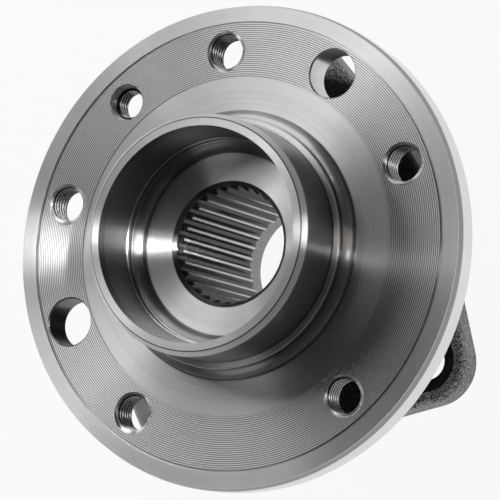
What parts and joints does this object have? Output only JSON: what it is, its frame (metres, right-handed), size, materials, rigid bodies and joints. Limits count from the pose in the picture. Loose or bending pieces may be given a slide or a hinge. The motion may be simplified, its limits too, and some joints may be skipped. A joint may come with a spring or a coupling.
{
  "type": "wheel hub bearing",
  "caption": "Flanged wheel hub turning on a double-row ball bearing in a bolted outer ring, with a wheel pilot collar, brake disc seat and splined drive shaft bore.",
  "frame": {"origin": "centre of the wheel bolt circle, on the face that the brake disc and wheel seat on", "axes": "+Z along the hub axis towards the wheel, +X along the knuckle flange's line of symmetry towards its wide pair of lugs"},
  "size_m": [0.1488, 0.1488, 0.083],
  "materials": {
    "machined_steel": "turned bright",
    "forged_steel": "as forged, oiled, with ground seats",
    "bearing_steel": "hardened and ground",
    "ball_steel": "polished",
    "sheet_steel": "pressed sheet",
    "cage_plastic": "glass-filled moulding",
    "seal_rubber": "moulded",
    "magnet_rubber": "magnet-filled, moulded"
  },
  "bodies": {
    "bearing_housing": {"outer_ring": "forged_steel", "outboard_seal_case": "sheet_steel", "outboard_seal_lips": "seal_rubber", "inboard_seal_case": "sheet_steel", "inboard_seal_lips": "seal_rubber"},
    "hub": {"hub_spindle": "machined_steel", "inner_ring": "bearing_steel", "outboard_slinger": "sheet_steel", "inboard_slinger": "sheet_steel", "encoder_ring": "magnet_rubber"},
    "outboard_ball_set": {"outboard_cage": "cage_plastic", "outboard_ball_01": "ball_steel", "outboard_ball_02": "ball_steel", "outboard_ball_03": "ball_steel", "outboard_ball_04": "ball_steel", "outboard_ball_05": "ball_steel", "outboard_ball_06": "ball_steel", "outboard_ball_07": "ball_steel", "outboard_ball_08": "ball_steel", "outboard_ball_09": "ball_steel", "outboard_ball_10": "ball_steel", "outboard_ball_11": "ball_steel", "outboard_ball_12": "ball_steel", "outboard_ball_13": "ball_steel", "outboard_ball_14": "ball_steel"},
    "inboard_ball_set": {"inboard_cage": "cage_plastic", "inboard_ball_01": "ball_steel", "inboard_ball_02": "ball_steel", "inboard_ball_03": "ball_steel", "inboard_ball_04": "ball_steel", "inboard_ball_05": "ball_steel", "inboard_ball_06": "ball_steel", "inboard_ball_07": "ball_steel", "inboard_ball_08": "ball_steel", "inboard_ball_09": "ball_steel", "inboard_ball_10": "ball_steel", "inboard_ball_11": "ball_steel", "inboard_ball_12": "ball_steel", "inboard_ball_13": "ball_steel", "inboard_ball_14": "ball_steel"}
  },
  "joints": [
    {"name": "hub_spin", "type": "hinge", "parent": "bearing_housing", "child": "hub", "pos_m": [0, 0, 0], "axis": [0, 0, 1], "continuous": true},
    {"name": "outboard_cage_spin", "type": "hinge", "parent": "bearing_housing", "child": "outboard_ball_set", "pos_m": [0, 0, -0.0248], "axis": [0, 0, 1], "continuous": true},
    {"name": "inboard_cage_spin", "type": "hinge", "parent": "bearing_housing", "child": "inboard_ball_set", "pos_m": [0, 0, -0.0438], "axis": [0, 0, 1], "continuous": true}
  ],
  "couplings": [
    {"joint": "outboard_cage_spin", "follows": "hub_spin", "ratio": 0.4245},
    {"joint": "inboard_cage_spin", "follows": "hub_spin", "ratio": 0.4245}
  ]
}
